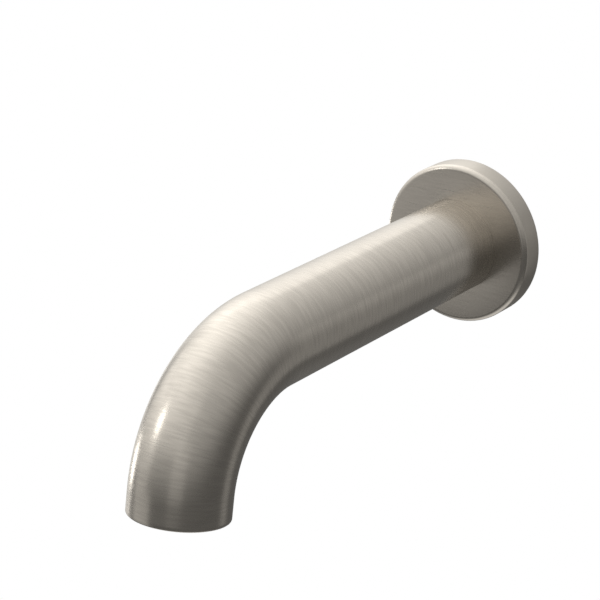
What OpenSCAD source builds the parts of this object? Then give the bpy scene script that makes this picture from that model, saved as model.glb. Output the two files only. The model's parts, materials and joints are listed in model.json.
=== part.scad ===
// Wall mounted bath spout: a bent tube on a round wall plate, slipped over a threaded
// adapter and held by one grub screw, with a screw-in stream straightener in its outlet.
// Origin: centre of the adapter's mouth, in the plane of the finished wall.
// +Z up, +Y into the wall, so the spout reaches out along -Y.

/* [Spout] */
// Outer diameter of the spout tube
tube_d = 40; // [40:1:44]
// Wall thickness of the spout tube
tube_wall = 2.5; // [2:0.25:3]
// Distance from the wall to the start of the bend
straight_len = 146; // [120:1:180]
// Radius of the bend, to the middle of the tube
bend_r = 53.4; // [50:0.2:70]
// Angle that the tube bends through
bend_angle = 80.2; // [70:0.2:90]
// Straight length after the bend
tip_len = 8.4; // [8:0.2:14]

/* [Wall plate] */
// Outer diameter of the wall plate
plate_d = 70; // [68:1:90]
// Depth of the wall plate, from the wall to its face
plate_depth = 11.5; // [10:0.5:13]
// Radius of the plate's rounded front edge
plate_edge_r = 2.2; // [1:0.1:2.8]
// Thickness of the plate's skirt
skirt_wall = 2; // [1.5:0.5:3]
// Thickness of the plate's face
face_wall = 2.4; // [2:0.2:3]

/* [Inlet] */
// Bore of the half-inch pipe thread, at its minor diameter
thread_d = 18.4; // [18:0.1:18.8]
// Length of the pipe thread
thread_len = 14; // [12:1:16]
// Outer diameter of the adapter
adapter_d = 25.8; // [25.6:0.1:26]
// Length of the adapter
adapter_len = 37; // [36:0.5:38]

/* [Grub screw] */
// Nominal diameter of the grub screw
screw_d = 6; // [5:0.5:6]
// Distance of the grub screw from the wall
screw_y = 19; // [18:0.5:20]
// Width of its hexagon socket, across flats
screw_hex = 3; // [2.5:0.5:3]

/* [Outlet] */
// Diameter of the outlet thread
outlet_d = 28; // [27:0.5:28]
// Width of one honeycomb cell, across flats
cell_w = 2.3; // [2:0.1:3]
// Thickness of the honeycomb's walls
cell_wall = 0.45; // [0.4:0.05:0.8]

/* [Hidden] */
$fn = 96;

// How far a cutting shape runs past the face that it cuts
over = 1;
// Room left for solder or glue between two pieces
bond_gap = 0.03;
tube_r = tube_d / 2;
bore_r = tube_r - tube_wall;
// Width of the small chamfers that break sharp edges
edge_break = 0.4;
// The tip's spigot: its length, and how far it stands proud of the bore
spigot_len = 1;
spigot_rise = 0.05;

// The shell and its socket stop just short of the wall
shell_start = 1.5;
socket_bore_r = 13;
socket_end = adapter_len + 0.5;
socket_lip = 2;
socket_lip_r = 10;

adapter_r = adapter_d / 2;
waterway_r = 6.2;
key_hex = 12.7;
key_depth = 8;
// Bottom radius and width of the two sealing grooves, and their distances from the wall
seal_floor_r = 10.3;
seal_w = 3.2;
seal_front_y = 33;
seal_rear_y = 27;
// Half the thickness of a sealing ring, which fills its groove to within a hair
seal_ring_r = (socket_bore_r - seal_floor_r) / 2 - 0.02;
// The grub screw's groove: its bottom radius, and half its width there
grip_floor_r = 11.5;
grip_half = 0.9;

screw_r = screw_d / 2;
screw_fit = 0.05;
screw_point_r = 0.7;
screw_point_z = grip_floor_r + 0.1;
screw_cone = screw_r - screw_point_r;
screw_head_z = tube_r - 0.6;

plate_r = plate_d / 2;
plate_fit = 0.08;
collar_r = tube_r + 4.5;
collar_gap = 1;
// The plate's ring: half its thickness, its groove's width and distance from the wall
grip_ring_r = 0.9;
grip_ring_gap = 0.03;
grip_groove_w = 2.2;
grip_groove_y = 5.5;
gasket_w = 4;
gasket_depth = 3;

// Outlet, measured inwards from the rim along the tip's own axis
outlet_r = outlet_d / 2;
ring_inset = 1.2;
ring_neck_r = bore_r - 1.3;
seat_depth = 11.5;
seat_lip = 2;
seat_r = 12;
housing_r = outlet_r - 0.08;
housing_inset = 2;
housing_depth = 10;
housing_lip = 1.2;
housing_lip_r = 11;
cup_r = 12.2;
notch_count = 4;
notch_w = 3;
core_r = cup_r - 0.05;
core_depth = 4;
core_rim = 0.8;
screen_depth = 0.5;
screen_pitch = 2.2;
screen_hole = 1.4;
strainer_rim = 1;
strainer_height = 3.2;
strainer_wall = 0.6;
strainer_hole_r = 0.6;

metal = "#a8a196";
brass = "#b5974f";
rubber = "#2b2b2b";
steel = "#b9bcc0";
plastic = "#e4e4e0";

// Local +Z runs out of the wall, starting at distance y from it
module from_wall(y = 0) {
    translate([0, -y, 0]) rotate([90, 0, 0]) children();
}

// Local +Z points out of the outlet, with its origin at the middle of the rim
module from_rim() {
    translate([0, -straight_len, -bend_r]) rotate([bend_angle, 0, 0])
        translate([0, -tip_len, bend_r]) rotate([90, 0, 0]) children();
}

module ring(outer, inner, height) {
    difference() {
        cylinder(r = outer, h = height);
        translate([0, 0, -over]) cylinder(r = inner, h = height + 2 * over);
    }
}

module torus(middle, section) {
    rotate_extrude() translate([middle, 0]) circle(r = section);
}

// The bend alone, as a bar of radius r or as a pipe with the given inner radius
module bend(r, inner) {
    translate([0, -straight_len, -bend_r]) rotate([0, -90, 180])
        rotate_extrude(angle = bend_angle) translate([bend_r, 0]) difference() {
            circle(r = r);
            circle(r = inner);
        }
}

// The straight tip, with its outer edge broken by a small chamfer. A spigot inside the
// wall carries it into the bend.
module tip(r, inner) {
    rotate_extrude() polygon([[inner - spigot_rise, -tip_len - spigot_len],
                              [(inner + r) / 2, -tip_len - spigot_len],
                              [(inner + r) / 2, -tip_len], [r, -tip_len],
                              [r, -edge_break], [r - edge_break, 0],
                              [inner, 0], [inner - spigot_rise, -tip_len]]);
}

module screw_hole() {
    translate([0, -screw_y, -tube_r - over])
        cylinder(r = screw_r + screw_fit, h = tube_r - grip_floor_r + over);
}

module spout_shell() {
    color(metal) difference() {
        union() {
            from_wall(shell_start) ring(tube_r, bore_r, straight_len - shell_start);
            bend(tube_r, bore_r);
            from_rim() tip(tube_r, bore_r);
        }
        screw_hole();
    }
}

// Collar brazed into the wall end of the tube, with a lip that stops the adapter
module inlet_socket() {
    color(brass) difference() {
        from_wall(shell_start) difference() {
            cylinder(r = bore_r, h = socket_end + socket_lip - shell_start);
            translate([0, 0, -over]) cylinder(r = socket_bore_r, h = socket_end - shell_start + over);
            cylinder(r = socket_lip_r, h = socket_end + socket_lip);
        }
        screw_hole();
    }
}

// Ring brazed into the tip, threaded for the stream straightener
module outlet_ring() {
    color(brass) from_rim() difference() {
        union() {
            translate([0, 0, -tip_len])
                cylinder(r = bore_r - spigot_rise - bond_gap, h = tip_len - ring_inset);
            translate([0, 0, -seat_depth - seat_lip])
                cylinder(r = ring_neck_r, h = seat_depth + seat_lip - ring_inset);
        }
        translate([0, 0, -seat_depth]) cylinder(r = outlet_r, h = seat_depth);
        translate([0, 0, -seat_depth - seat_lip - over])
            cylinder(r = seat_r, h = seat_lip + 2 * over);
    }
}

module seal_groove(y) {
    translate([0, 0, y - seal_w / 2]) ring(adapter_r + over, seal_floor_r, seal_w);
}

// V-shaped groove all round the adapter, where the grub screw's point grips
module grip_groove() {
    rise = adapter_r + over - grip_floor_r;
    translate([0, 0, screw_y]) rotate_extrude()
        polygon([[grip_floor_r, -grip_half], [grip_floor_r + rise, -grip_half - rise],
                 [grip_floor_r + rise, grip_half + rise], [grip_floor_r, grip_half]]);
}

module adapter() {
    color(brass) from_wall() difference() {
        cylinder(r = adapter_r, h = adapter_len);
        translate([0, 0, -over]) cylinder(r = thread_d / 2, h = thread_len + over);
        cylinder(r = waterway_r, h = adapter_len + over);
        translate([0, 0, adapter_len - key_depth])
            cylinder(r = key_hex / 2 / cos(30), h = key_depth + over, $fn = 6);
        seal_groove(seal_front_y);
        seal_groove(seal_rear_y);
        grip_groove();
    }
}

module adapter_oring(y) {
    color(rubber) from_wall(y) torus(seal_floor_r + seal_ring_r + 0.01, seal_ring_r);
}

// Headless screw with a hexagon socket, its point in the adapter's groove
module grub_screw() {
    color(steel) translate([0, -screw_y, 0]) difference() {
        union() {
            translate([0, 0, -screw_head_z])
                cylinder(r = screw_r, h = screw_head_z - screw_point_z - screw_cone);
            translate([0, 0, -screw_point_z - screw_cone])
                cylinder(r1 = screw_r, r2 = screw_point_r, h = screw_cone);
        }
        translate([0, 0, -screw_head_z - over])
            cylinder(r = screw_hex / 2 / cos(30), h = over + screw_r, $fn = 6);
    }
}

module wall_plate() {
    color(metal) from_wall() difference() {
        union() {
            cylinder(r = plate_r, h = plate_depth - plate_edge_r);
            cylinder(r = plate_r - plate_edge_r, h = plate_depth);
            translate([0, 0, plate_depth - plate_edge_r])
                torus(plate_r - plate_edge_r, plate_edge_r);
        }
        // Hollow behind the face, between the skirt and the collar
        translate([0, 0, -over])
            ring(plate_r - skirt_wall, collar_r, plate_depth - face_wall + over);
        translate([0, 0, -over]) cylinder(r = collar_r + over, h = collar_gap + over);
        translate([0, 0, -over])
            cylinder(r = tube_r + plate_fit, h = plate_depth + 2 * over);
        translate([0, 0, grip_groove_y - grip_groove_w / 2])
            cylinder(r = tube_r + grip_ring_gap + 2 * grip_ring_r + 0.02, h = grip_groove_w);
    }
}

module plate_oring() {
    color(rubber) from_wall(grip_groove_y)
        torus(tube_r + grip_ring_gap + grip_ring_r, grip_ring_r);
}

// Foam ring glued inside the skirt, which seals the plate to the wall
module wall_gasket() {
    color(rubber) from_wall()
        ring(plate_r - skirt_wall - bond_gap, plate_r - skirt_wall - gasket_w, gasket_depth);
}

// Threaded cup of the stream straightener, with notches for its key
module stream_housing() {
    color(plastic) from_rim() difference() {
        translate([0, 0, -housing_depth])
            cylinder(r = housing_r, h = housing_depth - housing_inset);
        translate([0, 0, -housing_depth - over])
            cylinder(r = cup_r, h = housing_depth + over - housing_inset - housing_lip);
        translate([0, 0, -housing_depth]) cylinder(r = housing_lip_r, h = housing_depth);
        for (i = [0 : notch_count - 1]) rotate(i * 360 / notch_count)
            translate([cup_r, -notch_w / 2, -housing_inset - housing_lip / 2])
                cube([housing_r, notch_w, housing_lip]);
    }
}

// Hexagonal cells on a triangular grid, kept inside radius r
module honeycomb(r) {
    pitch = cell_w + cell_wall;
    rows = ceil(r / pitch) + 1;
    for (row = [-rows : rows], col = [-rows : rows]) {
        x = (col + row / 2) * pitch;
        y = row * pitch * sin(60);
        if (norm([x, y]) + cell_w / 2 / cos(30) < r)
            translate([x, y]) rotate(30) circle(r = cell_w / 2 / cos(30), $fn = 6);
    }
}

module stream_core() {
    color(plastic) from_rim()
        translate([0, 0, -housing_inset - housing_lip - core_depth])
            linear_extrude(core_depth) difference() {
                circle(r = core_r);
                honeycomb(core_r - core_rim);
            }
}

// Woven screen, laid on the honeycomb
module stream_screen() {
    count = ceil(core_r / screen_pitch);
    color(steel) from_rim()
        translate([0, 0, -housing_inset - housing_lip - core_depth - screen_depth])
            linear_extrude(screen_depth) difference() {
                circle(r = core_r);
                for (i = [-count : count], j = [-count : count])
                    if (norm([i, j]) * screen_pitch + screen_hole < core_r - core_rim)
                        translate([i * screen_pitch, j * screen_pitch])
                            square(screen_hole, center = true);
            }
}

// Cup-shaped strainer that keeps grit off the screen
module debris_strainer() {
    base = -housing_inset - housing_lip - core_depth - screen_depth;
    wall_r = seat_r - 1.5;
    color(plastic) from_rim() translate([0, 0, base]) difference() {
        union() {
            translate([0, 0, -strainer_rim]) cylinder(r = core_r, h = strainer_rim);
            translate([0, 0, -strainer_height]) cylinder(r = wall_r, h = strainer_height);
        }
        translate([0, 0, -strainer_height + strainer_wall])
            cylinder(r = wall_r - strainer_wall, h = strainer_height);
        for (i = [-3 : 3], j = [-3 : 3])
            if (norm([i, j]) < 3.4)
                translate([i, j, 0] * 2.4 + [0, 0, -strainer_height - over])
                    cylinder(r = strainer_hole_r, h = strainer_wall + 2 * over, $fn = 16);
    }
}

module stream_washer() {
    color(rubber) from_rim() translate([0, 0, -seat_depth])
        ring(housing_r, housing_lip_r, seat_depth - housing_depth);
}

spout_shell();
inlet_socket();
outlet_ring();
adapter();
adapter_oring(seal_front_y);  // adapter_oring_front
adapter_oring(seal_rear_y);  // adapter_oring_rear
grub_screw();
wall_plate();
plate_oring();
wall_gasket();
stream_housing();
stream_core();
stream_screen();
debris_strainer();
stream_washer();
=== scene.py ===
# Bath spout on its round wall plate: brushed nickel outside, brass, rubber and plastic inside.
# Every length is in metres. +Z is up and +Y runs into the wall.
import bpy
import json
import math
from mathutils import Matrix, Vector


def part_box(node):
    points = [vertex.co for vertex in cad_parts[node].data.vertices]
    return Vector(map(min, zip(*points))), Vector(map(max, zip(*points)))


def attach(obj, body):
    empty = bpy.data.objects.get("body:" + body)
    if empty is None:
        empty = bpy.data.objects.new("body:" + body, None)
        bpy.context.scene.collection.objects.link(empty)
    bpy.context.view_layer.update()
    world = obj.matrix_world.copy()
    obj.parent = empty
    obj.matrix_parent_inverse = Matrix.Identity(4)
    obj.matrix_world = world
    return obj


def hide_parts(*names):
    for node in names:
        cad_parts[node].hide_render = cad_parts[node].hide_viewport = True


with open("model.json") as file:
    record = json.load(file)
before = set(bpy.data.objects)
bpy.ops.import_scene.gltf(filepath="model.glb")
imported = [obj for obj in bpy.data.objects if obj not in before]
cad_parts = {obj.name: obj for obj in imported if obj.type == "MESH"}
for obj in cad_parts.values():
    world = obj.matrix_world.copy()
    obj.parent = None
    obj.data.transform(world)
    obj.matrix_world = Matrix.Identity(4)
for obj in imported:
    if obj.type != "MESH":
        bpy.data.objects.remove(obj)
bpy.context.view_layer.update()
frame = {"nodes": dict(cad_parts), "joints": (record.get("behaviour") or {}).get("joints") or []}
mm = 0.001
mergeDistance = 0.002 * mm
print("frame loaded:", len(frame["nodes"]), "nodes")


def clearSelection():
    for item in list(bpy.context.selected_objects):
        item.select_set(False)


def makeActive(piece):
    clearSelection()
    piece.select_set(True)
    bpy.context.view_layer.objects.active = piece


def startEdit(piece, mode="VERT"):
    makeActive(piece)
    bpy.ops.object.mode_set(mode="EDIT")
    bpy.ops.mesh.select_mode(type=mode)
    bpy.ops.mesh.select_all(action="DESELECT")


def endEdit():
    bpy.ops.object.mode_set(mode="OBJECT")


def pickEdges(piece, test):
    # selects the edges whose two ends both pass the test, then goes back to edit mode
    endEdit()
    points = [test(vertex.co) for vertex in piece.data.vertices]
    for face in piece.data.polygons:
        face.select = False
    for vertex in piece.data.vertices:
        vertex.select = False
    for edge in piece.data.edges:
        edge.select = points[edge.vertices[0]] and points[edge.vertices[1]]
    bpy.ops.object.mode_set(mode="EDIT")
    bpy.ops.mesh.select_mode(type="EDGE")


def applyModifiers(piece):
    makeActive(piece)
    for modifier in list(piece.modifiers):
        bpy.ops.object.modifier_apply(modifier=modifier.name)


def placeMesh(piece, placing=Matrix.Identity(4)):
    # moves the mesh into place, and leaves the object at the origin
    makeActive(piece)
    piece.matrix_world = placing @ piece.matrix_world
    bpy.ops.object.transform_apply(location=True, rotation=True, scale=True)


def roundCorners(corners, arcSteps):
    # corners are (radius, height) or (radius, height, rounding); a rounding turns the corner into an arc
    points = []
    for index, corner in enumerate(corners):
        here = Vector(corner[:2])
        if len(corner) < 3:
            points.append(here)
            continue
        before = (Vector(corners[index - 1][:2]) - here).normalized()
        after = (Vector(corners[(index + 1) % len(corners)][:2]) - here).normalized()
        half = before.angle(after) / 2
        middle = here + (before + after).normalized() * (corner[2] / math.sin(half))
        start = here + before * (corner[2] / math.tan(half)) - middle
        end = here + after * (corner[2] / math.tan(half)) - middle
        sweep = start.angle_signed(end)
        for step in range(arcSteps + 1):
            turned = start.copy()
            turned.rotate(Matrix.Rotation(-sweep * step / arcSteps, 2))
            points.append(middle + turned)
    return points


def drawOutline(name, points):
    # pulls one point along a row of places in the XZ plane
    clearSelection()
    bpy.ops.mesh.primitive_plane_add(size=mm)
    piece = bpy.context.object
    piece.name = name
    bpy.ops.object.mode_set(mode="EDIT")
    bpy.ops.mesh.select_mode(type="VERT")
    bpy.ops.mesh.select_all(action="SELECT")
    bpy.ops.mesh.merge(type="CENTER")
    places = [Vector((radius, 0, height)) for radius, height in points]
    bpy.ops.transform.translate(value=places[0])
    for here, there in zip(places, places[1:]):
        bpy.ops.mesh.extrude_vertices_move(TRANSFORM_OT_translate={"value": there - here})
    bpy.ops.mesh.select_all(action="SELECT")
    return piece


def tidyMesh():
    # in edit mode: joins doubled points and turns every face outwards, then leaves edit mode
    bpy.ops.mesh.select_all(action="SELECT")
    bpy.ops.mesh.remove_doubles(threshold=mergeDistance)
    bpy.ops.mesh.normals_make_consistent(inside=False)
    endEdit()


def lathe(name, corners, sides=96, closed=True, arcSteps=6):
    # spins the outline round the Z axis
    points = roundCorners(corners, arcSteps)
    piece = drawOutline(name, points + points[:1] if closed else points)
    bpy.ops.mesh.spin(steps=sides, angle=2 * math.pi, center=(0, 0, 0), axis=(0, 0, 1))
    tidyMesh()
    return piece


def addThread(piece, root, crest, pitch, low, high, sides=64):
    # winds one ridge round the Z axis from low to high, then joins it to the piece
    sunk = root + (root - crest) * 0.2        # the ridge's foot lies a little inside the metal
    footHalf, crestHalf = pitch * 0.44, pitch * 0.06
    middle = low + footHalf
    ridge = drawOutline("ridge", [(sunk, low), (crest, middle - crestHalf), (crest, middle + crestHalf),
                                  (sunk, low + 2 * footHalf), (sunk, low)])
    bpy.ops.mesh.remove_doubles(threshold=mergeDistance)
    endEdit()
    winding = ridge.modifiers.new("winding", "SCREW")
    winding.screw_offset = pitch
    winding.iterations = int((high - low - 2 * footHalf) / pitch)
    winding.steps = winding.render_steps = sides
    applyModifiers(ridge)
    startEdit(ridge)
    bpy.ops.mesh.select_all(action="SELECT")
    bpy.ops.mesh.fill_holes(sides=4)
    tidyMesh()
    joinPieces(piece, [ridge])


def joinPieces(piece, others):
    clearSelection()
    for other in others:
        other.select_set(True)
    piece.select_set(True)
    bpy.context.view_layer.objects.active = piece
    bpy.ops.object.join()


def cutAway(piece, tool):
    # takes the tool's shape out of the piece and throws the tool away
    cut = piece.modifiers.new("cut", "BOOLEAN")
    cut.operation = "DIFFERENCE"
    cut.solver = "EXACT"
    cut.object = tool
    applyModifiers(piece)
    bpy.data.objects.remove(tool)


def addBar(radius, low, high, corners=48):
    # a straight bar along Z, used for cutting
    clearSelection()
    bpy.ops.mesh.primitive_cylinder_add(vertices=corners, radius=radius, depth=high - low,
                                        location=(0, 0, (low + high) / 2))
    bar = bpy.context.object
    placeMesh(bar)
    return bar


def finishPiece(piece, body, nodes, material, smoothAngle=35):
    makeActive(piece)
    bpy.ops.object.shade_smooth_by_angle(angle=math.radians(smoothAngle))
    piece.data.materials.clear()
    piece.data.materials.append(material)
    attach(piece, body)
    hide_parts(*nodes)
    print("made", piece.name, "with", len(piece.data.polygons), "faces")


class Wire:
    # one output socket; sums written on wires add their Math nodes
    def __init__(self, bench, socket):
        self.bench = bench
        self.socket = socket

    def sum(self, operation, first, second):
        return self.bench.node("Math", {"operation": operation}, {0: first, 1: second})

    def __add__(self, other):
        return self.sum("ADD", self, other)

    __radd__ = __add__

    def __sub__(self, other):
        return self.sum("SUBTRACT", self, other)

    def __rsub__(self, other):
        return self.sum("SUBTRACT", other, self)

    def __mul__(self, other):
        return self.sum("MULTIPLY", self, other)

    __rmul__ = __mul__

    def __pow__(self, other):
        return self.sum("POWER", self, other)


class Bench:
    # a material's or a world's node tree, emptied and ready to build in
    def __init__(self, owner):
        owner.use_nodes = True
        self.owner = owner
        self.tree = owner.node_tree
        self.tree.nodes.clear()

    def node(self, kind, settings=None, values=None, output=0):
        node = self.tree.nodes.new("ShaderNode" + kind)
        for key, value in (settings or {}).items():
            if key == "stops":
                ramp = node.color_ramp.elements
                while len(ramp) < len(value):
                    ramp.new(0.5)
                for element, (position, colour) in zip(ramp, value):
                    element.position = position
                    element.color = (*colour, 1)
            else:
                setattr(node, key, value)
        for key, value in (values or {}).items():
            if isinstance(value, Wire):
                self.tree.links.new(value.socket, node.inputs[key])
            else:
                node.inputs[key].default_value = value
        return Wire(self, node.outputs[output]) if node.outputs else None

    def parts(self, vector):
        split = self.node("SeparateXYZ", {}, {"Vector": vector}).socket.node
        return [Wire(self, socket) for socket in split.outputs]

    def noise(self, vector, scale, detail=2.0, roughness=0.5):
        return self.node("TexNoise", {}, {"Vector": vector, "Scale": scale, "Detail": detail,
                                          "Roughness": roughness})

    def stretch(self, vector, scale):
        return self.node("Mapping", {}, {"Vector": vector, "Scale": scale})

    def remap(self, value, low, high, newLow, newHigh):
        return self.node("MapRange", {"interpolation_type": "SMOOTHSTEP"},
                         {"Value": value, "From Min": low, "From Max": high,
                          "To Min": newLow, "To Max": newHigh})

    def mixColour(self, factor, first, second):
        # a colour Mix node keeps its two colours on sockets 6 and 7 and its result on 2
        return self.node("Mix", {"data_type": "RGBA"}, {"Factor": factor, 6: first, 7: second}, 2)

    def ownPlace(self):
        # Object coordinates
        return self.node("TexCoord", {}, {}, 3)

    def relief(self, strength, depth, height):
        return self.node("Bump", {}, {"Strength": strength, "Distance": depth, "Height": height})

    def shader(self, constants, patterns):
        surface = self.node("BsdfPrincipled", {}, {**constants, **patterns})
        self.node("OutputMaterial", {}, {"Surface": surface})
        return self.owner


def newBench(name):
    return Bench(bpy.data.materials.new(name))


# in a finish, a triple of scales stretches the noise, so a large last number gives lines across Z
nickel = {
    "bright": (0.668, 0.624, 0.562, 1),
    "dark": (0.580, 0.542, 0.489, 1),
    # the two rim colours are darker than the face's: painted shade on the plate's side, laid over the rim's
    # own grain
    "rimBrightInShade": (0.640, 0.597, 0.536, 1),
    "rimDarkInShade": (0.480, 0.448, 0.402, 1),
    "roughness": 0.27,
    "tubeRoughChange": 0.012,
    "plateRoughChange": 0.02,
    "rimExtraRoughness": 0.08,
    "tubeLines": (110, 110, 2300),
    "tubeStreaks": (100, 100, 1250),
    "tubeClouds": (30, 30, 60),
    "plateLines": (110, 300, 2300),
    "plateStreaks": (100, 200, 1250),
    "rimGrain": 1400.0,
    "brushedEdge": 0.5 * mm,             # below the face, where the straight brushing fades out
    "rimBand": (2.6 * mm, 1.9 * mm),     # below the face, where the blasted rim, coloured darker as painted shade, takes over
    "contrast": (0.32, 0.68),
    "bump": 0.006,
    "bumpDepth": 0.1 * mm,
}


def nickelTone(bench, tone):
    low, high = nickel["contrast"]
    return bench.mixColour(bench.remap(tone, low, high, 0.0, 1.0), nickel["dark"], nickel["bright"])


def brushedNickelRound():
    # brushed round the tube: the unbent attribute is the tube laid out straight along Z
    bench = newBench("brushedNickelRound")
    unbent = bench.node("Attribute", {"attribute_name": "unbent"}, {}, 1)
    fine = bench.noise(bench.stretch(unbent, nickel["tubeLines"]), 1.0, 1.0)
    streak = bench.noise(bench.stretch(unbent, nickel["tubeStreaks"]), 1.0, 1.0)
    cloud = bench.noise(bench.stretch(unbent, nickel["tubeClouds"]), 1.0, 2.0)
    tone = streak * 0.75 + fine * 0.1 + cloud * 0.15
    change = nickel["tubeRoughChange"]
    rough = nickel["roughness"] + bench.remap(tone, 0.3, 0.7, change, -change)
    normal = bench.relief(nickel["bump"], nickel["bumpDepth"], streak)
    return bench.shader({"Metallic": 1.0}, {"Base Color": nickelTone(bench, tone), "Roughness": rough,
                                            "Normal": normal})


def brushedNickelFlat(faceHeight):
    # brushed straight across the face, with a finer, blasted rim behind it, coloured darker as painted shade
    bench = newBench("brushedNickelFlat")
    place = bench.ownPlace()
    fine = bench.noise(bench.stretch(place, nickel["plateLines"]), 1.0, 1.0)
    streak = bench.noise(bench.stretch(place, nickel["plateStreaks"]), 1.0, 1.0)
    grain = bench.noise(place, nickel["rimGrain"], 1.0)
    outward = bench.parts(place)[1] * -1.0
    onFace = bench.remap(outward, faceHeight - nickel["brushedEdge"], faceHeight, 0.0, 1.0)
    tone = (streak * 0.3 + fine * 0.1 + 0.34) * onFace + (grain * 0.4 + 0.34) * (1.0 - onFace)
    rimStart, rimEnd = nickel["rimBand"]
    # pastRim is 0 on the rim and 1 on the rounding and face; it carries the painted shade in the rim's darker
    # colours and the rim's own extra roughness
    pastRim = bench.remap(outward, faceHeight - rimStart, faceHeight - rimEnd, 0.0, 1.0)
    rimGrainInPaintedShade = bench.mixColour(tone, nickel["rimDarkInShade"], nickel["rimBrightInShade"])
    colour = bench.mixColour(pastRim, rimGrainInPaintedShade, nickelTone(bench, tone))
    change = nickel["plateRoughChange"]
    rough = (nickel["roughness"] + (1.0 - pastRim) * nickel["rimExtraRoughness"]
             + bench.remap(tone, 0.3, 0.7, change, -change))
    height = (fine * 0.7 + streak * 0.3) * onFace + grain * 0.5 * (1.0 - onFace)
    normal = bench.relief(nickel["bump"], nickel["bumpDepth"], height)
    return bench.shader({"Metallic": 1.0}, {"Base Color": colour, "Roughness": rough, "Normal": normal})


brass = {"bright": (0.78, 0.62, 0.34, 1), "dull": (0.60, 0.44, 0.22, 1), "roughness": 0.30}
screwSteel = {"bright": (0.62, 0.61, 0.60, 1), "dull": (0.44, 0.44, 0.44, 1), "roughness": 0.28}
wireSteel = {"bright": (0.66, 0.65, 0.63, 1), "dull": (0.46, 0.46, 0.45, 1), "roughness": 0.24}
latheMarks = {"lines": 2600.0, "tarnish": 160.0, "bump": 0.25, "bumpDepth": 0.05 * mm}


def turnedMetal(name, metal, axisTurn, centre):
    # fine lathe lines: rings round the piece's own axis, which the Mapping node lays along Z
    bench = newBench(name)
    place = bench.ownPlace()
    own = bench.node("Mapping", {"vector_type": "TEXTURE"}, {"Vector": place, "Rotation": axisTurn,
                                                            "Location": centre})
    x, y, z = bench.parts(own)
    radius = (x * x + y * y) ** 0.5
    closeness = latheMarks["lines"]
    rings = bench.node("CombineXYZ", {}, {0: radius * closeness, 1: z * closeness, 2: 0.0})
    lines = bench.noise(rings, 1.0, 3.0, 0.6)
    tarnish = bench.noise(place, latheMarks["tarnish"], 4.0, 0.6)
    tone = bench.remap(lines * 0.45 + tarnish * 0.55, 0.35, 0.65, 0.0, 1.0)
    colour = bench.mixColour(tone, metal["dull"], metal["bright"])
    rough = metal["roughness"] + bench.remap(tarnish, 0.35, 0.7, 0.12, -0.02)
    normal = bench.relief(latheMarks["bump"], latheMarks["bumpDepth"], lines)
    return bench.shader({"Metallic": 1.0}, {"Base Color": colour, "Roughness": rough, "Normal": normal})


rubberFinish = {
    "black": (0.012, 0.012, 0.013, 1),
    "bloomed": (0.034, 0.034, 0.036, 1),
    "grain": 2400.0,
    "bloom": 130.0,
    "roughness": 0.46,
    "bump": 0.15,
    "bumpDepth": 0.05 * mm,
}


def sealRubber():
    finish = rubberFinish
    bench = newBench("sealRubber")
    place = bench.ownPlace()
    grain = bench.noise(place, finish["grain"], 3.0, 0.6)
    bloom = bench.noise(place, finish["bloom"], 3.0)
    colour = bench.mixColour(bench.remap(bloom, 0.4, 0.75, 0.0, 1.0), finish["black"], finish["bloomed"])
    rough = finish["roughness"] + grain * 0.16
    normal = bench.relief(finish["bump"], finish["bumpDepth"], grain)
    return bench.shader({"Specular IOR Level": 0.4},
                        {"Base Color": colour, "Roughness": rough, "Normal": normal})


foamFinish = {
    # the pit colour is painted shade in the foam's cells
    "pitShade": (0.020, 0.020, 0.022, 1),
    "skin": (0.085, 0.085, 0.090, 1),
    "cells": 2200.0,
    "patches": 260.0,
    "roughness": 0.78,
    "bump": 0.55,
    "bumpDepth": 0.2 * mm,
}


def gasketFoam():
    finish = foamFinish
    bench = newBench("gasketFoam")
    place = bench.ownPlace()
    cells = bench.node("TexVoronoi", {}, {"Vector": place, "Scale": finish["cells"]})
    patch = bench.noise(place, finish["patches"], 3.0)
    tone = bench.remap(cells, 0.1, 0.7, 0.0, 1.0)
    # painted shade: the pits of the cells are coloured darker than the skin
    colour = bench.mixColour(tone * 0.7 + patch * 0.3, finish["pitShade"], finish["skin"])
    rough = finish["roughness"] + patch * 0.12
    normal = bench.relief(finish["bump"], finish["bumpDepth"], 1.0 - cells)     # the cells are pits
    return bench.shader({"Specular IOR Level": 0.25},
                        {"Base Color": colour, "Roughness": rough, "Normal": normal})


acetalFinish = {
    "shaded": (0.745, 0.750, 0.735, 1),
    "white": (0.835, 0.835, 0.815, 1),
    "flow": (180, 180, 70),
    "pores": 3000.0,
    "roughness": 0.34,
    "bump": 0.12,
    "bumpDepth": 0.03 * mm,
    "glowDepth": (2.0 * mm,) * 3,
}


def mouldedAcetal():
    finish = acetalFinish
    bench = newBench("mouldedAcetal")
    place = bench.ownPlace()
    flow = bench.noise(bench.stretch(place, finish["flow"]), 1.0, 3.0)
    pores = bench.noise(place, finish["pores"], 2.0)
    colour = bench.mixColour(bench.remap(flow, 0.35, 0.7, 0.0, 1.0), finish["shaded"], finish["white"])
    rough = finish["roughness"] + flow * 0.1
    normal = bench.relief(finish["bump"], finish["bumpDepth"], pores)
    return bench.shader({"IOR": 1.48, "Subsurface Weight": 0.08, "Subsurface Radius": finish["glowDepth"]},
                        {"Base Color": colour, "Roughness": rough, "Normal": normal})


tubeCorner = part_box("spout_shell")[1]
tubeRadius = tubeCorner.x
shellStart = -tubeCorner.y
rimJoint = next(joint for joint in frame["joints"] if joint["name"] == "straightener_turn")
rimCentre = Vector(rimJoint["pos_m"])
outletAxis = Vector(rimJoint["axis"]).normalized()
bendAngle = math.asin(-outletAxis.z)
wallTurn = Matrix.Rotation(math.pi / 2, 4, "X")            # Z to -Y, out of the wall
rimTurn = Matrix.Rotation(math.pi / 2 + bendAngle, 4, "X")
atRim = Matrix.Translation(rimCentre) @ rimTurn            # Z out of the outlet, from the middle of the rim
screwLow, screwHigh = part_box("grub_screw")
screwPlace = (0, (screwLow.y + screwHigh.y) / 2, 0)

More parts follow.
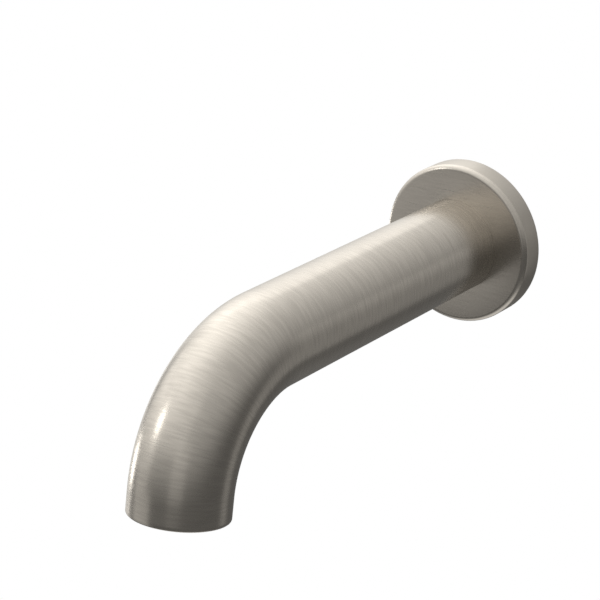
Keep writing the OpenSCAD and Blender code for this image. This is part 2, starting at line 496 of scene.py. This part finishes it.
brassNearWall = turnedMetal("turnedBrassInlet", brass, wallTurn.to_euler(), (0, 0, 0))
brassAtRim = turnedMetal("turnedBrassOutlet", brass, rimTurn.to_euler(), rimCentre)
rubber = sealRubber()
acetal = mouldedAcetal()
print("materials ready")


spoutTube = {
    "sidesRound": 144,
    "bendRadius": 53.4 * mm,
    "bendStart": 146 * mm,
    "bendSteps": 60,
    "tipSteps": 5,
    "rowLength": 2.0 * mm,
    "wall": 2.5 * mm,
    "rimRounding": 0.45 * mm,
    "rimSteps": 3,
    "screwClearance": 0.05 * mm,
    "endReach": 0.01 * mm,        # points this near to an end's plane belong to its edge
}
bendEnd = Vector((0, -spoutTube["bendStart"] + spoutTube["bendRadius"] * outletAxis.z,
                  -spoutTube["bendRadius"] * (1 + outletAxis.y)))
tipLength = (rimCentre - bendEnd).length


def unbend(point):
    # the point's place in the same tube laid out straight: across, up, and along
    sizes = spoutTube
    if -point.y < sizes["bendStart"]:
        return Vector((point.x, point.z, -point.y))
    fromCentre = Vector((-point.y - sizes["bendStart"], point.z + sizes["bendRadius"]))
    angle = math.atan2(fromCentre.x, fromCentre.y)
    if angle < bendAngle:
        return Vector((point.x, fromCentre.length - sizes["bendRadius"],
                       sizes["bendStart"] + sizes["bendRadius"] * angle))
    past = (point - rimCentre).dot(outletAxis)
    across = Vector((0, outletAxis.z, -outletAxis.y))
    tipStart = sizes["bendStart"] + sizes["bendRadius"] * bendAngle
    return Vector((point.x, (point - rimCentre).dot(across), tipStart + tipLength + past))


def makeSpoutTube():
    sizes = spoutTube
    clearSelection()
    bpy.ops.mesh.primitive_circle_add(vertices=sizes["sidesRound"], radius=tubeRadius, fill_type="NOTHING",
                                      location=(0, -shellStart, 0), rotation=(math.pi / 2, 0, 0))
    piece = bpy.context.object
    piece.name = "spoutTube"
    placeMesh(piece)
    startEdit(piece, "EDGE")
    bpy.ops.mesh.select_all(action="SELECT")
    rows = round((sizes["bendStart"] - shellStart) / sizes["rowLength"])
    rowStep = (sizes["bendStart"] - shellStart) / rows
    for row in range(rows):
        bpy.ops.mesh.extrude_edges_move(TRANSFORM_OT_translate={"value": (0, -rowStep, 0)})
    bpy.ops.mesh.spin(steps=sizes["bendSteps"], angle=bendAngle, axis=(-1, 0, 0),
                      center=(0, -sizes["bendStart"], -sizes["bendRadius"]))
    tipStep = outletAxis * (tipLength / sizes["tipSteps"])
    for row in range(sizes["tipSteps"]):
        bpy.ops.mesh.extrude_edges_move(TRANSFORM_OT_translate={"value": tipStep})
    tidyMesh()
    shell = piece.modifiers.new("wall", "SOLIDIFY")
    shell.thickness = sizes["wall"]
    shell.offset = -1
    shell.use_even_offset = True
    applyModifiers(piece)
    startEdit(piece, "EDGE")
    for atEnd in (lambda point: (point - rimCentre).dot(outletAxis) > -sizes["endReach"],
                  lambda point: point.y > -shellStart - sizes["endReach"]):
        pickEdges(piece, atEnd)
        bpy.ops.mesh.bevel(offset=sizes["rimRounding"], segments=sizes["rimSteps"], affect="EDGES")
    endEdit()
    hole = addBar(screwHigh.x + sizes["screwClearance"], -tubeRadius - mm, -tubeRadius / 2)
    placeMesh(hole, Matrix.Translation(screwPlace))
    cutAway(piece, hole)
    laidOut = piece.data.attributes.new("unbent", "FLOAT_VECTOR", "POINT")
    for vertex, value in zip(piece.data.vertices, laidOut.data):
        value.vector = unbend(vertex.co)
    finishPiece(piece, "spout", ["spout_shell"], brushedNickelRound())


makeSpoutTube()

wallPlate = {
    "depth": 11.5 * mm,
    "edge": 2.2 * mm,
    "skirt": 2.0 * mm,
    "face": 2.4 * mm,
    "bore": 20.02 * mm,
    "collar": 24.5 * mm,
    "collarGap": 1.0 * mm,
    "grooveFloor": 21.85 * mm,
    "groove": (4.4 * mm, 6.6 * mm),
    "skirtRounding": 0.25 * mm,
    "collarRounding": 0.3 * mm,
    "hollowRounding": 0.5 * mm,
    "brushedDepth": 0.1 * mm,     # how far down the rounded edge the straight brushing still runs in full
}


def makeWallPlate():
    sizes = wallPlate
    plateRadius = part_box("wall_plate")[1].x
    hollowTop = sizes["depth"] - sizes["face"]
    skirtInside = plateRadius - sizes["skirt"]
    low, high = sizes["groove"]
    piece = lathe("wallPlate", [
        (plateRadius, 0, sizes["skirtRounding"]), (plateRadius, sizes["depth"], sizes["edge"]),
        (sizes["bore"], sizes["depth"]), (sizes["bore"], high), (sizes["grooveFloor"], high),
        (sizes["grooveFloor"], low), (sizes["bore"], low),
        (sizes["bore"], sizes["collarGap"], sizes["collarRounding"]),
        (sizes["collar"], sizes["collarGap"], sizes["collarRounding"]),
        (sizes["collar"], hollowTop, sizes["hollowRounding"]),
        (skirtInside, hollowTop, sizes["hollowRounding"]), (skirtInside, 0, sizes["skirtRounding"])],
        sides=160, arcSteps=8)
    placeMesh(piece, wallTurn)
    finishPiece(piece, "plate", ["wall_plate"],
                brushedNickelFlat(sizes["depth"] - sizes["brushedDepth"]), smoothAngle=30)


makeWallPlate()

wallGasket = {
    "clearance": 0.03 * mm,
    "width": 4.0 * mm,
    "depth": 3.0 * mm,
    "glued": 0.25 * mm,
    "free": 0.8 * mm,
}


def makeWallGasket():
    sizes = wallGasket
    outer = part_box("wall_gasket")[1].x
    inner = outer + sizes["clearance"] - sizes["width"]
    piece = lathe("wallGasket", [
        (outer, 0, sizes["glued"]), (outer, sizes["depth"], sizes["glued"]),
        (inner, sizes["depth"], sizes["free"]), (inner, 0, sizes["free"])], sides=120)
    placeMesh(piece, wallTurn)
    finishPiece(piece, "plate", ["wall_gasket"], gasketFoam())


makeWallGasket()

adapter = {
    "radius": 12.9 * mm,
    "length": 37.0 * mm,
    "waterway": 6.2 * mm,
    "threadCrest": 9.2 * mm,
    "threadRoot": 10.1 * mm,
    "threadDepth": 14.0 * mm,
    "pitch": 1.81 * mm,
    "leadIn": 10.9 * mm,
    "gripFloor": 11.5 * mm,
    "gripHalf": 0.9 * mm,
    "gripPlace": 19.0 * mm,
    "sealFloor": 10.3 * mm,
    "sealWidth": 3.2 * mm,
    "sealPlaces": (27.0 * mm, 33.0 * mm),
    "keyRadius": 7.33 * mm,
    "keyDepth": 8.0 * mm,
    "wallEdge": 0.4 * mm,
    "frontEdge": 0.6 * mm,
    "boreEdge": 0.3 * mm,
    "threadCorner": 0.4 * mm,
    "threadEnds": (0.9 * mm, 0.2 * mm),     # bare lengths at the ridge's two ends
    "grooveEdge": 0.12 * mm,
    "grooveCorner": 0.2 * mm,
}


def makeAdapter():
    sizes = adapter
    outer, grip, half = sizes["radius"], sizes["gripPlace"], sizes["gripHalf"]
    slope = outer - sizes["gripFloor"]
    outline = [(outer, 0, sizes["wallEdge"]), (outer, grip - half - slope), (sizes["gripFloor"], grip - half),
               (sizes["gripFloor"], grip + half), (outer, grip + half + slope)]
    edge, corner = sizes["grooveEdge"], sizes["grooveCorner"]
    for place in sizes["sealPlaces"]:
        low, high = place - sizes["sealWidth"] / 2, place + sizes["sealWidth"] / 2
        outline += [(outer, low, edge), (sizes["sealFloor"], low, corner), (sizes["sealFloor"], high, corner),
                    (outer, high, edge)]
    outline += [(outer, sizes["length"], sizes["frontEdge"]),
                (sizes["waterway"], sizes["length"], sizes["boreEdge"]),
                (sizes["waterway"], sizes["threadDepth"], sizes["threadCorner"]),
                (sizes["threadRoot"], sizes["threadDepth"]),
                (sizes["threadRoot"], sizes["leadIn"] - sizes["threadRoot"]), (sizes["leadIn"], 0)]
    piece = lathe("inletAdapter", outline)
    key = addBar(sizes["keyRadius"], sizes["length"] - sizes["keyDepth"], sizes["length"] + mm, corners=6)
    cutAway(piece, key)
    bareStart, bareEnd = sizes["threadEnds"]
    addThread(piece, sizes["threadRoot"], sizes["threadCrest"], sizes["pitch"], bareStart,
              sizes["threadDepth"] - bareEnd)
    placeMesh(piece, wallTurn)
    finishPiece(piece, "spout", ["adapter"], brassNearWall)


makeAdapter()

inletSocket = {
    "clearance": 0.02 * mm,
    "start": 1.5 * mm,
    "bore": 13.0 * mm,
    "boreEnd": 37.5 * mm,
    "lip": 2.0 * mm,
    "lipRadius": 10.0 * mm,
    "wallEdge": 0.3 * mm,
    "lipEdge": 0.5 * mm,
    "lipCorner": 0.2 * mm,
    "boreCorner": 0.3 * mm,
    "leadInWide": 0.7 * mm,
    "leadInDeep": 1.2 * mm,
    "screwHole": 3.05 * mm,
}


def makeInletSocket():
    sizes = inletSocket
    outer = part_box("inlet_socket")[1].x - sizes["clearance"]
    end = sizes["boreEnd"] + sizes["lip"]
    piece = lathe("inletSocket", [
        (outer, sizes["start"], sizes["wallEdge"]), (outer, end, sizes["lipEdge"]),
        (sizes["lipRadius"], end, sizes["lipEdge"]),
        (sizes["lipRadius"], sizes["boreEnd"], sizes["lipCorner"]),
        (sizes["bore"], sizes["boreEnd"], sizes["boreCorner"]),
        (sizes["bore"], sizes["start"] + sizes["leadInDeep"]),
        (sizes["bore"] + sizes["leadInWide"], sizes["start"])])
    placeMesh(piece, wallTurn)
    hole = addBar(sizes["screwHole"], -outer - mm, -sizes["bore"] / 2)
    placeMesh(hole, Matrix.Translation(screwPlace))
    cutAway(piece, hole)
    finishPiece(piece, "spout", ["inlet_socket"], brassNearWall)


makeInletSocket()

grubScrew = {
    "root": 2.5 * mm,
    "pitch": 1.0 * mm,
    "point": 0.7 * mm,
    "socket": 1.73 * mm,
    "socketDepth": 3.0 * mm,
    "headEdge": 0.3 * mm,
    "pointEdge": 0.15 * mm,
    "threadStart": 0.15 * mm,
    "threadOverCone": 0.2 * mm,
}


def makeGrubScrew():
    sizes = grubScrew
    bottom, top, crest = screwLow.z, screwHigh.z, screwHigh.x
    piece = lathe("grubScrew", [
        (0, bottom), (sizes["root"], bottom, sizes["headEdge"]),
        (sizes["root"], top - sizes["root"] + sizes["point"]), (sizes["point"], top, sizes["pointEdge"]),
        (0, top)], sides=64, closed=False)
    cutAway(piece, addBar(sizes["socket"], bottom - mm, bottom + sizes["socketDepth"], corners=6))
    coneStart = top - (crest - sizes["point"])
    addThread(piece, sizes["root"], crest, sizes["pitch"], bottom + sizes["threadStart"],
              coneStart + sizes["threadOverCone"], sides=40)
    placeMesh(piece, Matrix.Translation(screwPlace))
    finishPiece(piece, "grub_screw", ["grub_screw"],
                turnedMetal("stainlessScrew", screwSteel, (0, 0, 0), screwPlace))


makeGrubScrew()

outletRing = {
    "radius": 17.42 * mm,
    "inset": 1.2 * mm,
    "tip": 8.4 * mm,
    "neck": 16.2 * mm,
    "seat": 11.5 * mm,
    "lip": 2.0 * mm,
    "lipRadius": 12.0 * mm,
    "threadRoot": 14.55 * mm,
    "threadCrest": 14.0 * mm,
    "pitch": 1.0 * mm,
    "threadStart": 0.2 * mm,
    "leadIn": 0.5 * mm,
    "frontEdge": 0.25 * mm,
    "shoulderEdge": 0.1 * mm,
    "seatEdge": 0.15 * mm,
    "lipEdge": 0.3 * mm,
    "neckEdge": 0.4 * mm,
}


def makeOutletRing():
    sizes = outletRing
    front, seat, end = -sizes["inset"], -sizes["seat"], -sizes["seat"] - sizes["lip"]
    root, leadIn = sizes["threadRoot"], sizes["leadIn"]
    piece = lathe("outletRing", [
        (sizes["radius"], -sizes["tip"], sizes["shoulderEdge"]), (sizes["radius"], front, sizes["frontEdge"]),
        (root + leadIn, front), (root, front - leadIn), (root, seat),
        (sizes["lipRadius"], seat, sizes["seatEdge"]), (sizes["lipRadius"], end, sizes["lipEdge"]),
        (sizes["neck"], end, sizes["neckEdge"]), (sizes["neck"], -sizes["tip"])])
    addThread(piece, root, sizes["threadCrest"], sizes["pitch"], seat + sizes["threadStart"], front - leadIn)
    placeMesh(piece, atRim)
    finishPiece(piece, "spout", ["outlet_ring"], brassAtRim)


makeOutletRing()

streamHousing = {
    "inset": 2.0 * mm,
    "depth": 10.0 * mm,
    "threadCrest": 13.92 * mm,
    "threadRoot": 13.4 * mm,
    "pitch": 1.0 * mm,
    "flange": 0.9 * mm,
    "cup": 12.2 * mm,
    "lip": 1.2 * mm,
    "lipRadius": 11.0 * mm,
    "notches": 4,
    "notchWidth": 3.0 * mm,
    "notchDepth": 0.6 * mm,
    "threadStart": 0.3 * mm,
    "threadStop": 0.1 * mm,
    "flangeSlope": 0.3 * mm,
    "flangeEdge": 0.2 * mm,
    "softEdge": 0.3 * mm,
    "lipCorner": 0.1 * mm,
    "cupCorner": 0.2 * mm,
}


def makeStreamHousing():
    sizes = streamHousing
    front, back = -sizes["inset"], -sizes["depth"]
    flange, lip = front - sizes["flange"], front - sizes["lip"]
    root, outer, soft = sizes["threadRoot"], sizes["threadCrest"], sizes["softEdge"]
    piece = lathe("streamHousing", [
        (root, back, soft), (root, flange), (outer, flange + sizes["flangeSlope"]),
        (outer, front, sizes["flangeEdge"]), (sizes["lipRadius"], front, soft),
        (sizes["lipRadius"], lip, sizes["lipCorner"]), (sizes["cup"], lip, sizes["cupCorner"]),
        (sizes["cup"], back, soft)])
    notchScale = (2 * (outer - sizes["cup"]), sizes["notchWidth"], 2 * sizes["notchDepth"])
    for index in range(sizes["notches"]):
        clearSelection()
        bpy.ops.mesh.primitive_cube_add(size=1, location=(outer, 0, front), scale=notchScale)
        notch = bpy.context.object
        placeMesh(notch)          # its size and place are settled before it turns, which keeps the cut clean
        placeMesh(notch, Matrix.Rotation(2 * math.pi * index / sizes["notches"], 4, "Z"))
        cutAway(piece, notch)
    addThread(piece, root, outer, sizes["pitch"], back + sizes["threadStart"], flange - sizes["threadStop"])
    placeMesh(piece, atRim)
    finishPiece(piece, "straightener", ["stream_housing"], acetal)


makeStreamHousing()

streamScreen = {
    "height": -7.45 * mm,
    "radius": 12.15 * mm,
    "frame": 0.7 * mm,
    "frameEdge": 0.1 * mm,
    "wire": 0.11 * mm,
    "pitch": 1.1 * mm,
    "wires": 22,
    "wireSides": 6,
}


def makeStreamScreen():
    # wires weave over and under each other, and a pressed frame holds their ends
    sizes = streamScreen
    pitch, wire, inner = sizes["pitch"], sizes["wire"], sizes["radius"] - sizes["frame"] / 2
    half = sizes["wires"] / 2 * pitch
    wires = []
    for quarter in (0, 1):
        for lane in (0, 1):
            clearSelection()
            bpy.ops.mesh.primitive_circle_add(
                vertices=sizes["wireSides"], radius=wire, fill_type="NOTHING", rotation=(0, math.pi / 2, 0),
                location=(-half, -half + (lane + 0.5) * pitch, wire * (1 if (lane + quarter) % 2 else -1)))
            strand = bpy.context.object
            placeMesh(strand)
            startEdit(strand, "EDGE")
            bpy.ops.mesh.select_all(action="SELECT")
            for step in range(sizes["wires"]):
                climb = 2 * wire * (-1 if (step + lane + quarter) % 2 else 1)
                for part in (0, climb):
                    bpy.ops.mesh.extrude_edges_move(TRANSFORM_OT_translate={"value": (pitch / 2, 0, part)})
            endEdit()
            row = strand.modifiers.new("row", "ARRAY")
            row.use_relative_offset = False
            row.use_constant_offset = True
            row.constant_offset_displace = (0, 2 * pitch, 0)
            row.count = sizes["wires"] // 2
            applyModifiers(strand)
            trimWires(strand, pitch, inner)
            placeMesh(strand, Matrix.Rotation(quarter * math.pi / 2, 4, "Z"))
            wires.append(strand)
    outer, hole, edge = sizes["radius"], sizes["radius"] - sizes["frame"], sizes["frameEdge"]
    thick = 2.2 * wire            # a little more than the woven wires
    piece = lathe("streamScreen", [(outer, -thick, edge), (outer, thick, edge), (hole, thick, edge),
                                   (hole, -thick, edge)], arcSteps=3)
    joinPieces(piece, wires)
    placeMesh(piece, atRim @ Matrix.Translation((0, 0, sizes["height"])))
    finishPiece(piece, "straightener", ["stream_screen"],
                turnedMetal("screenWire", wireSteel, rimTurn.to_euler(), rimCentre))


def trimWires(strand, pitch, inner):
    # takes off what reaches past the frame, row by row, and closes the cut ends
    startEdit(strand)             # leaves no point selected
    endEdit()
    for vertex in strand.data.vertices:
        lane = (math.floor(vertex.co.y / pitch) + 0.5) * pitch
        along = round(vertex.co.x / pitch * 2) * pitch / 2
        vertex.select = along ** 2 + lane ** 2 > inner ** 2
    bpy.ops.object.mode_set(mode="EDIT")
    bpy.ops.mesh.delete(type="VERT")
    bpy.ops.mesh.select_all(action="SELECT")
    bpy.ops.mesh.fill_holes(sides=streamScreen["wireSides"])
    tidyMesh()


makeStreamScreen()

streamWasher = {
    "outer": 13.92 * mm,
    "inner": 11.0 * mm,
    "low": -11.5 * mm,
    "high": -10.0 * mm,
    "rounding": 0.35 * mm,
}


def makeStreamWasher():
    sizes = streamWasher
    edge = sizes["rounding"]
    piece = lathe("streamWasher", [
        (sizes["outer"], sizes["low"], edge), (sizes["outer"], sizes["high"], edge),
        (sizes["inner"], sizes["high"], edge), (sizes["inner"], sizes["low"], edge)])
    placeMesh(piece, atRim)
    finishPiece(piece, "washer", ["stream_washer"], rubber)


makeStreamWasher()

cadFinishes = {
    "adapter_oring_front": rubber,
    "adapter_oring_rear": rubber,
    "plate_oring": rubber,
    "stream_core": acetal,
    "debris_strainer": acetal,
}
for name, material in cadFinishes.items():
    kept = frame["nodes"][name]
    kept.data.materials.clear()
    kept.data.materials.append(material)
print("finished", len(cadFinishes), "pieces of the frame")

camera = {"azimuth": 36.338, "elevation": 21.102, "distance": 0.8477, "lens": 126.99,
          "aim": (-0.01365, -0.10526, 0.00043)}
studio = {
    "floor": -1.0, "ceiling": 4.0, "room": 3.2, "roomRounding": 1.2, "white": 1.0,
    "middle": (0, -0.12, 0), "lampDistance": 1.6, "lampColour": (1.0, 0.985, 0.955),
    "skyColour": (1.0, 0.992, 0.972, 1),
    # brightness from straight down (0) to straight up (1)
    "surroundings": ((0.0, 0.8), (0.05, 0.65), (0.11, 0.2), (0.2, 0.12), (0.3, 0.11), (0.42, 0.11),
                     (0.5, 0.21), (0.67, 0.43), (0.82, 0.54), (1.0, 0.62)),
    "window": {"azimuth": -107, "elevation": 48, "glow": 1.02, "spread": 6.0},
}
softboxes = {
    "keyPanel": {"azimuth": -136, "elevation": 13, "wide": 1.2, "tall": 1.95, "glow": 0.35},
    "lowPanel": {"azimuth": -110, "elevation": -25, "wide": 1.3, "tall": 0.8, "glow": 0.42},
    "leftFill": {"azimuth": -71, "elevation": 8, "wide": 2.1, "tall": 0.9, "glow": 0.18},
    "lowFill": {"azimuth": -48, "elevation": -18, "wide": 1.2, "tall": 0.6, "glow": 0.25},
    "frontHigh": {"azimuth": -5, "elevation": 42, "wide": 1.8, "tall": 1.3, "glow": 0.12},
    "frontStrip": {"azimuth": 25, "elevation": 6, "wide": 0.8, "tall": 0.9, "glow": 0.12},
    "rightStrip": {"azimuth": 144, "elevation": -12, "wide": 0.6, "tall": 1.2, "glow": 0.15},
    "sparkHigh": {"azimuth": -51, "elevation": 23, "wide": 0.24, "tall": 0.3, "glow": 3.3},
    "sparkLow": {"azimuth": -92, "elevation": -13, "wide": 0.26, "tall": 0.26, "glow": 3.4},
}


def toward(azimuth, elevation):
    turn, lift = math.radians(azimuth), math.radians(elevation)
    return Vector((math.sin(turn) * math.cos(lift), -math.cos(turn) * math.cos(lift), math.sin(lift)))


def addCamera():
    data = bpy.data.cameras.new("camera")
    data.lens = camera["lens"]
    data.sensor_width = 36
    item = bpy.data.objects.new("camera", data)
    bpy.context.scene.collection.objects.link(item)
    back = toward(camera["azimuth"], camera["elevation"])
    item.location = Vector(camera["aim"]) + back * camera["distance"]
    item.rotation_euler = (-back).to_track_quat("-Z", "Y").to_euler()
    bpy.context.scene.camera = item


def addSoftboxes():
    for name, box in softboxes.items():
        data = bpy.data.lights.new(name, "AREA")
        data.shape = "RECTANGLE"
        data.size, data.size_y = box["wide"], box["tall"]
        data.energy = 4 * box["glow"] * box["wide"] * box["tall"]     # 4 W a square metre glow as 1
        data.color = studio["lampColour"]
        item = bpy.data.objects.new(name, data)
        bpy.context.scene.collection.objects.link(item)
        out = toward(box["azimuth"], box["elevation"])
        item.location = Vector(studio["middle"]) + out * studio["lampDistance"]
        item.rotation_euler = (-out).to_track_quat("-Z", "Y").to_euler()
        item.visible_camera = False


def addRoom():
    # a white room that only the camera sees: it adds no light and shows in no reflection
    wall, rounding = studio["room"], studio["roomRounding"]
    room = lathe("studioRoom", [(0, studio["floor"]), (wall, studio["floor"], rounding),
                                (wall, studio["ceiling"], rounding), (0, studio["ceiling"])],
                 sides=64, closed=False)
    bench = newBench("studioWhite")
    glow = bench.node("Emission", {}, {"Color": (1, 1, 1, 1), "Strength": studio["white"]})
    bench.node("OutputMaterial", {}, {"Surface": glow})
    room.data.materials.append(bench.owner)
    for ray in ("diffuse", "glossy", "transmission", "shadow", "volume_scatter"):
        setattr(room, "visible_" + ray, False)


def addWorld():
    # grey surroundings, light above, dark below the horizon and light again straight down,
    # with a broad pale window to the left
    world = bpy.data.worlds.new("surroundings")
    bpy.context.scene.world = world
    bench = Bench(world)
    direction = bench.node("TexCoord", {}, {}, 0)
    up = bench.parts(direction)[2]
    stops = [(place, (glow,) * 3) for place, glow in studio["surroundings"]]
    ramp = bench.node("ValToRGB", {"stops": stops}, {"Fac": up * 0.5 + 0.5})
    window = studio["window"]
    towardWindow = bench.node("VectorMath", {"operation": "DOT_PRODUCT"}, {
        0: direction, 1: toward(window["azimuth"], window["elevation"])}, 1)
    lobe = ((towardWindow + 1.0) * 0.5) ** window["spread"] * window["glow"]
    glow = bench.node("Background", {}, {"Color": studio["skyColour"], "Strength": ramp + lobe})
    bench.node("OutputWorld", {}, {"Surface": glow})
    bpy.context.scene.view_settings.view_transform = "Standard"


addCamera()
addSoftboxes()
addRoom()
addWorld()
print("studio ready")
